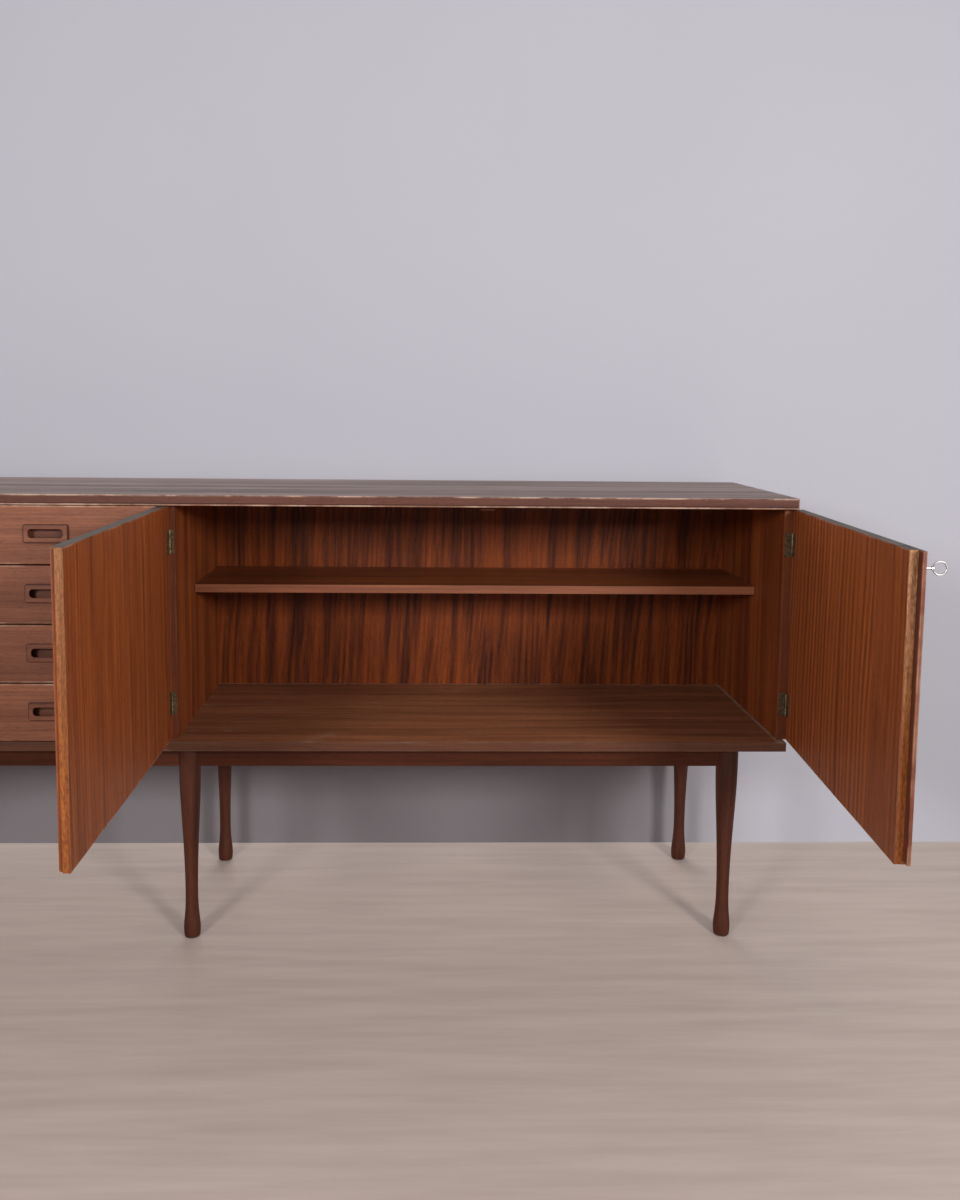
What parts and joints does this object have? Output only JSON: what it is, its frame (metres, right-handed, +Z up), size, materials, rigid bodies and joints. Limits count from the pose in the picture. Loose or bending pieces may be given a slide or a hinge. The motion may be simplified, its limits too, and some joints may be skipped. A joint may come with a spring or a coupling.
{
  "type": "sideboard",
  "caption": "Long low wooden sideboard on turned legs, with a two-door bay, a bank of drawers with raised slotted pulls and a one-door bay.",
  "frame": {"origin": "on the floor at the centre of the middle front leg's glide, halfway along the length of the case", "axes": "+X along the front to the right as seen from the front, +Y from the front to the back, +Z up"},
  "size_m": [2.0885, 0.907, 0.78],
  "materials": {
    "case_wood": "satin red-brown veneer, worn at the arrises",
    "front_veneer": "satin ribbon-figured veneer",
    "inner_veneer": "satin dark ribbon-figured veneer",
    "pull_wood": "satin",
    "leg_wood": "satin dark stain",
    "pale_wood": "clear sealed",
    "brass": "dull, aged",
    "steel": "plain",
    "glide": "matt"
  },
  "bodies": {
    "case": {"back_panel_pins": "steel", "base_screws": "steel", "bottom_board": "case_wood", "cross_rails": "leg_wood", "door_stop": "pale_wood", "drawer_linings": "case_wood", "drawer_runners": "pale_wood", "hinge_frame_leaves": "brass", "hinge_frame_screws": "brass", "hinge_pins": "brass", "left_back_leg": "leg_wood", "left_back_panel": "inner_veneer", "left_divider": "case_wood", "left_front_leg": "leg_wood", "left_shelf": "inner_veneer", "left_side_panel": "case_wood", "leg_glides": "glide", "lock_strike_plates": "brass", "long_rails": "leg_wood", "middle_back_leg": "leg_wood", "middle_back_panel": "inner_veneer", "middle_front_leg": "leg_wood", "right_back_leg": "leg_wood", "right_back_panel": "inner_veneer", "right_divider": "case_wood", "right_front_leg": "leg_wood", "right_shelf": "inner_veneer", "right_side_panel": "case_wood", "shelf_pins": "brass", "top_board": "case_wood"},
    "left_door": {"left_door": "front_veneer", "left_door_hinge_leaves": "brass", "left_door_hinge_screws": "brass", "left_lock_case": "steel", "left_escutcheon": "brass"},
    "middle_door": {"middle_door": "front_veneer", "middle_door_hinge_leaves": "brass", "middle_door_hinge_screws": "brass"},
    "right_door": {"right_door": "front_veneer", "right_door_lip": "front_veneer", "right_door_hinge_leaves": "brass", "right_door_hinge_screws": "brass", "right_lock_case": "steel", "right_escutcheon": "brass"},
    "left_key": {"left_key": "steel"},
    "left_lock_bolt": {"left_lock_bolt": "steel"},
    "right_key": {"right_key": "steel"},
    "right_lock_bolt": {"right_lock_bolt": "steel"},
    "drawer_1": {"drawer_1_front": "front_veneer", "drawer_1_pull": "pull_wood", "drawer_1_box": "pale_wood"},
    "drawer_2": {"drawer_2_front": "front_veneer", "drawer_2_pull": "pull_wood", "drawer_2_box": "pale_wood"},
    "drawer_3": {"drawer_3_front": "front_veneer", "drawer_3_pull": "pull_wood", "drawer_3_box": "pale_wood"},
    "drawer_4": {"drawer_4_front": "front_veneer", "drawer_4_pull": "pull_wood", "drawer_4_box": "pale_wood"}
  },
  "joints": [
    {"name": "left_door_hinge", "type": "hinge", "parent": "case", "child": "left_door", "pos_m": [-1.0284, -0.0185, 0.561], "axis": [0, 0, -1], "range_deg": [0, 110]},
    {"name": "middle_door_hinge", "type": "hinge", "parent": "case", "child": "middle_door", "pos_m": [-0.024, -0.0185, 0.561], "axis": [0, 0, -1], "range_deg": [-90, 0]},
    {"name": "right_door_hinge", "type": "hinge", "parent": "case", "child": "right_door", "pos_m": [1.0284, -0.0185, 0.561], "axis": [0, 0, 1], "range_deg": [-86, 24]},
    {"name": "drawer_1_slide", "type": "slide", "parent": "case", "child": "drawer_1", "axis": [0, -1, 0], "range_m": [0, 0.24]},
    {"name": "drawer_2_slide", "type": "slide", "parent": "case", "child": "drawer_2", "axis": [0, -1, 0], "range_m": [0, 0.24]},
    {"name": "drawer_3_slide", "type": "slide", "parent": "case", "child": "drawer_3", "axis": [0, -1, 0], "range_m": [0, 0.24]},
    {"name": "drawer_4_slide", "type": "slide", "parent": "case", "child": "drawer_4", "axis": [0, -1, 0], "range_m": [0, 0.24]},
    {"name": "left_key_turn", "type": "hinge", "parent": "left_door", "child": "left_key", "pos_m": [-0.454, -0.027, 0.7335], "axis": [0, 1, 0], "range_deg": [0, 90]},
    {"name": "left_bolt_slide", "type": "slide", "parent": "left_door", "child": "left_lock_bolt", "axis": [0, 0, 1], "range_m": [0, 0.006]},
    {"name": "right_key_turn", "type": "hinge", "parent": "right_door", "child": "right_key", "pos_m": [1.00347, -0.49688, 0.7335], "axis": [-0.9976, 0.0698, 0], "range_deg": [0, 90]},
    {"name": "right_bolt_slide", "type": "slide", "parent": "right_door", "child": "right_lock_bolt", "axis": [0, 0, 1], "range_m": [0, 0.006]}
  ],
  "couplings": [
    {"joint": "left_bolt_slide", "follows": "left_key_turn", "m_per_rad": 0.003819},
    {"joint": "right_bolt_slide", "follows": "right_key_turn", "m_per_rad": 0.003819}
  ]
}
